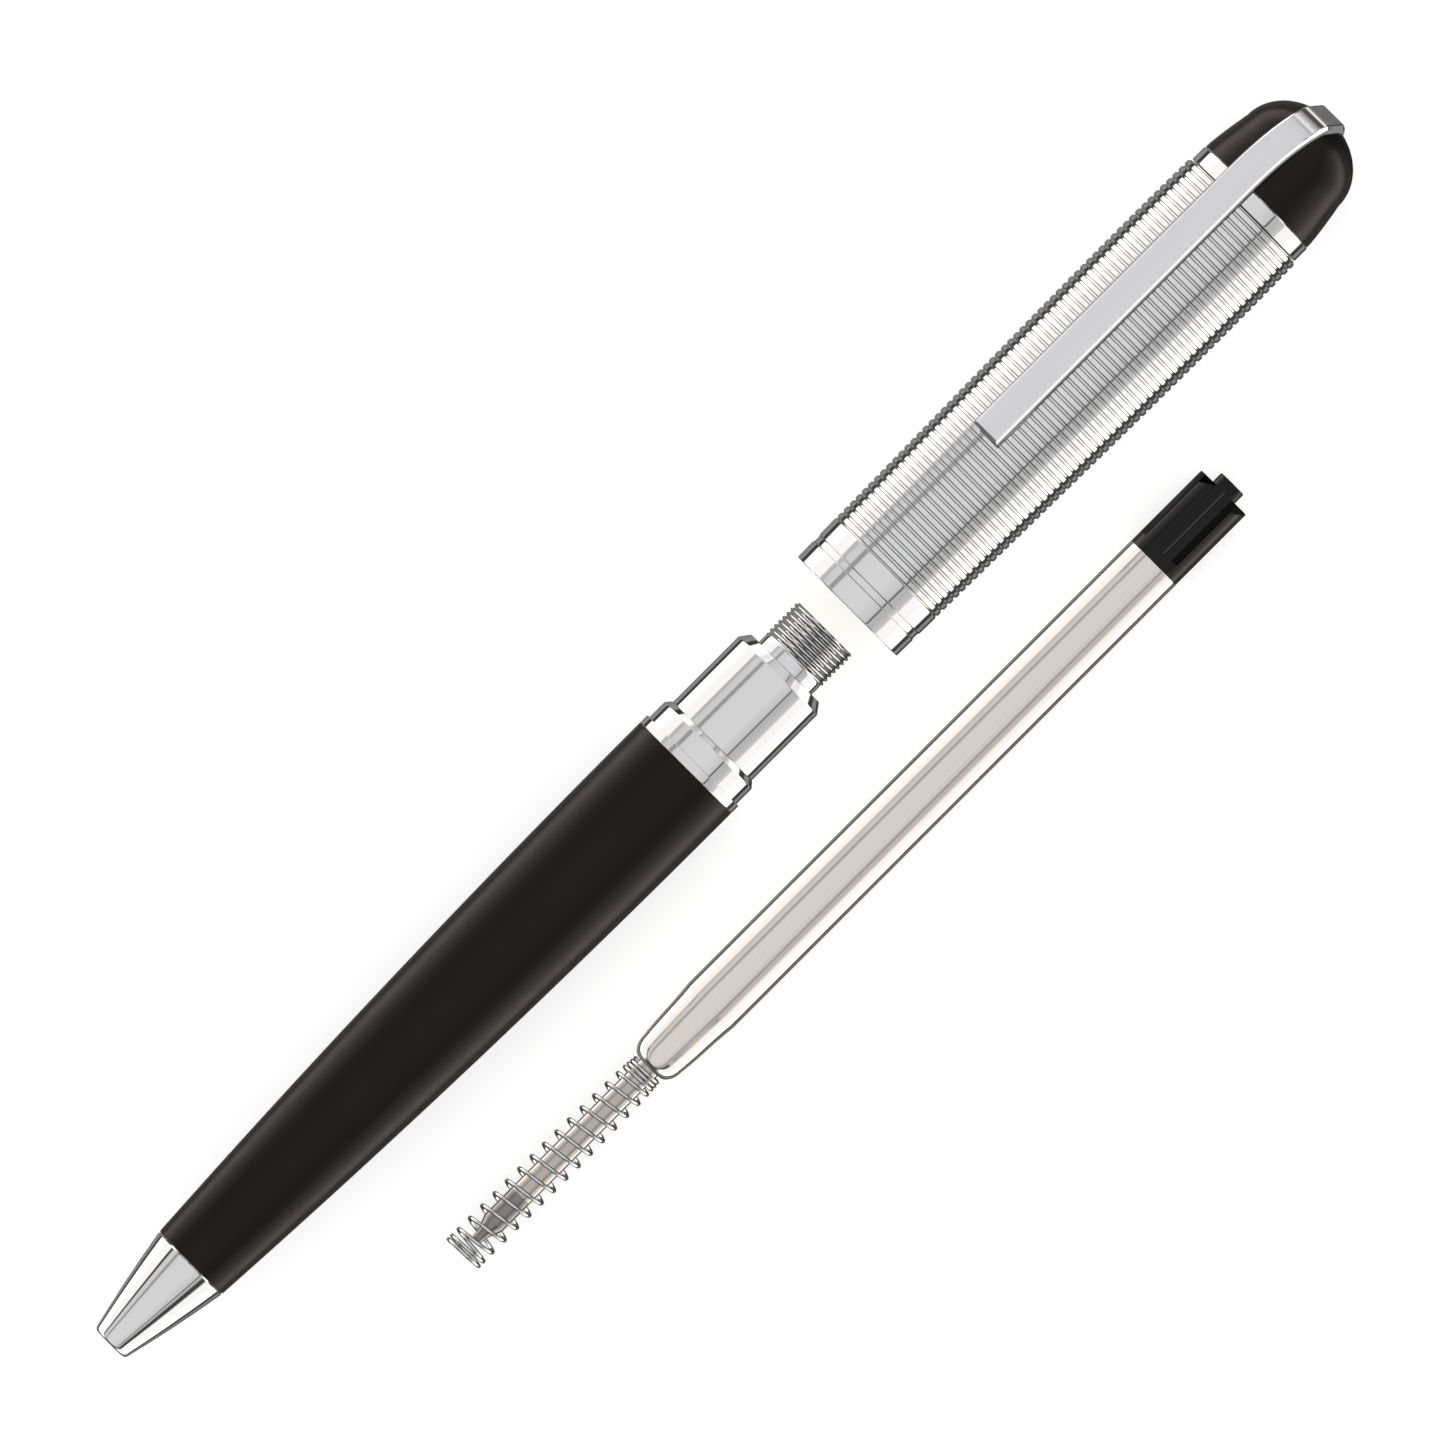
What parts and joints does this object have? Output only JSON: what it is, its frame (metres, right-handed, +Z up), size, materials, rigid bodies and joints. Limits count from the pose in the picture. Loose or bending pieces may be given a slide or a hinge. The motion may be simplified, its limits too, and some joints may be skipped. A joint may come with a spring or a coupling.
{
  "type": "retractable ballpoint pen",
  "caption": "Twist-action ballpoint pen with a ribbed metal rear barrel, lacquered front barrel, pocket clip, screw joint and replaceable refill with its spring, laid out taken apart.",
  "frame": {"origin": "middle of the laid-out pen's footprint, on the surface it lies on", "axes": "+X along the pen from its nose to its domed cap, +Z up, +Y away from the refill, which lies parallel to the pen on its -Y side"},
  "size_m": [0.1584, 0.0268, 0.0153],
  "materials": {
    "black_lacquer": "satin black lacquer",
    "chrome": "bright chrome plate",
    "clip_steel": "bright chrome-plated spring steel",
    "brass": "turned brass",
    "black_cap": "satin black",
    "steel": "machined steel",
    "spring_steel": "drawn spring wire",
    "refill_metal": "nickel-plated tube",
    "nickel_silver": "turned nickel silver",
    "carbide": "ground tungsten carbide",
    "black_plastic": "moulded black plastic",
    "ivory_plastic": "moulded acetal",
    "ink": "ink paste"
  },
  "bodies": {
    "front_section": {"nose_cone": "chrome", "front_barrel": "black_lacquer", "barrel_liner": "brass", "trim_ring": "chrome", "turning_sleeve": "chrome", "threaded_bush": "steel"},
    "coupler": {"coupler": "brass", "retaining_ring": "steel"},
    "plunger": {"plunger": "ivory_plastic", "cross_pin": "steel"},
    "rear_section": {"rear_barrel": "chrome", "guide_bush": "brass", "rear_liner": "brass", "cam_sleeve": "brass", "cap_bush": "brass", "cap_ring": "chrome", "finial": "black_cap", "finial_screw": "steel"},
    "clip": {"clip": "clip_steel"},
    "refill": {"refill_body": "refill_metal", "refill_neck": "refill_metal", "point_holder": "nickel_silver", "ink_column": "ink", "refill_plug": "black_plastic"},
    "writing_ball": {"writing_ball": "carbide"},
    "spring": {"spring": "spring_steel"}
  },
  "joints": [
    {"name": "barrel_close", "type": "slide", "parent": "front_section", "child": "coupler", "axis": [-1, 0, 0], "range_m": [-0.1, 0.0173]},
    {"name": "twist", "type": "hinge", "parent": "coupler", "child": "rear_section", "pos_m": [0.04, 0.00649, 0.00692], "axis": [1, 0, 0], "range_deg": [0, 120]},
    {"name": "plunger_advance", "type": "slide", "parent": "coupler", "child": "plunger", "axis": [-1, 0, 0], "range_m": [0, 0.0042]},
    {"name": "clip_flex", "type": "hinge", "parent": "rear_section", "child": "clip", "pos_m": [0.0777, 0.00646, 0.00683], "axis": [0, 0.9588, -0.284], "range_deg": [0, 4], "stiffness_Nm_per_rad": 1},
    {"name": "refill_slide", "type": "slide", "parent": "front_section", "child": "refill", "axis": [1, 0, 0], "range_m": [-0.033, 0.0624]},
    {"name": "spring_compress", "type": "slide", "parent": "refill", "child": "spring", "axis": [1, 0, 0], "range_m": [0, 0.0084], "stiffness_N_per_m": 200, "deforming": ["spring"]},
    {"name": "ball_roll", "type": "hinge", "parent": "refill", "child": "writing_ball", "pos_m": [-0.04875, -0.01051, 0.0029], "axis": [0, 1, 0], "continuous": true}
  ],
  "couplings": [
    {"joint": "plunger_advance", "follows": "twist", "m_per_rad": 0.0020054}
  ]
}
